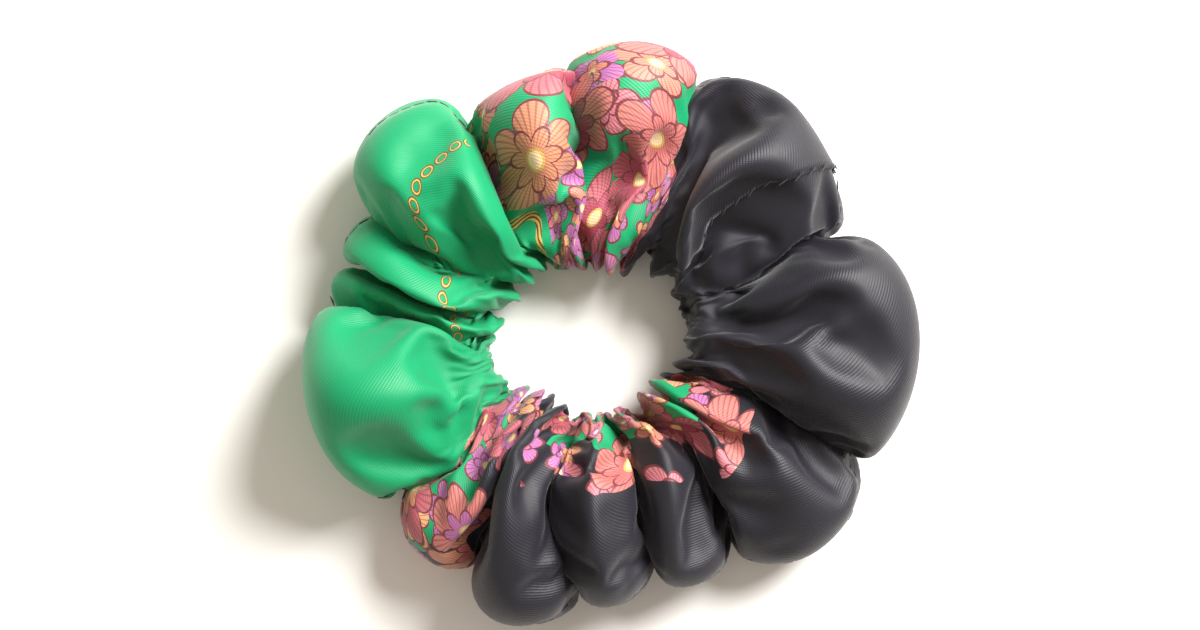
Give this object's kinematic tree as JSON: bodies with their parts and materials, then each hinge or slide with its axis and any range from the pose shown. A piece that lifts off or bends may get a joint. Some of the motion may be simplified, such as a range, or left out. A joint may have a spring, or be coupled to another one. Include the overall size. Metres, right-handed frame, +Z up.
{
  "type": "gathered hair scrunchie",
  "caption": "Silk twill hair scrunchie: a gathered cloth tube on a loop of flat elastic, closed by hand stitches.",
  "frame": {"origin": "on the resting surface, under the middle of the bounding box", "axes": "+Z up through the ring's hole, out of the surface that it lies on; +X to the right of someone looking down on it"},
  "size_m": [0.115, 0.1118, 0.0322],
  "materials": {
    "silk": "satin",
    "dark_thread": "satin",
    "elastic": "matte",
    "pale_thread": "satin"
  },
  "bodies": {
    "cover": {"silk_cover": "silk", "long_seam_needle_thread": "dark_thread", "long_seam_bobbin_thread": "dark_thread", "closing_seam_thread": "dark_thread"},
    "elastic": {"elastic_band": "elastic", "elastic_join_needle_thread": "pale_thread", "elastic_join_bobbin_thread": "pale_thread"}
  },
  "joints": [
    {"name": "elastic_round", "type": "hinge", "parent": "cover", "child": "elastic", "pos_m": [-0.00342, -0.00206, 0.0095], "axis": [0, 0, 1], "continuous": true}
  ]
}
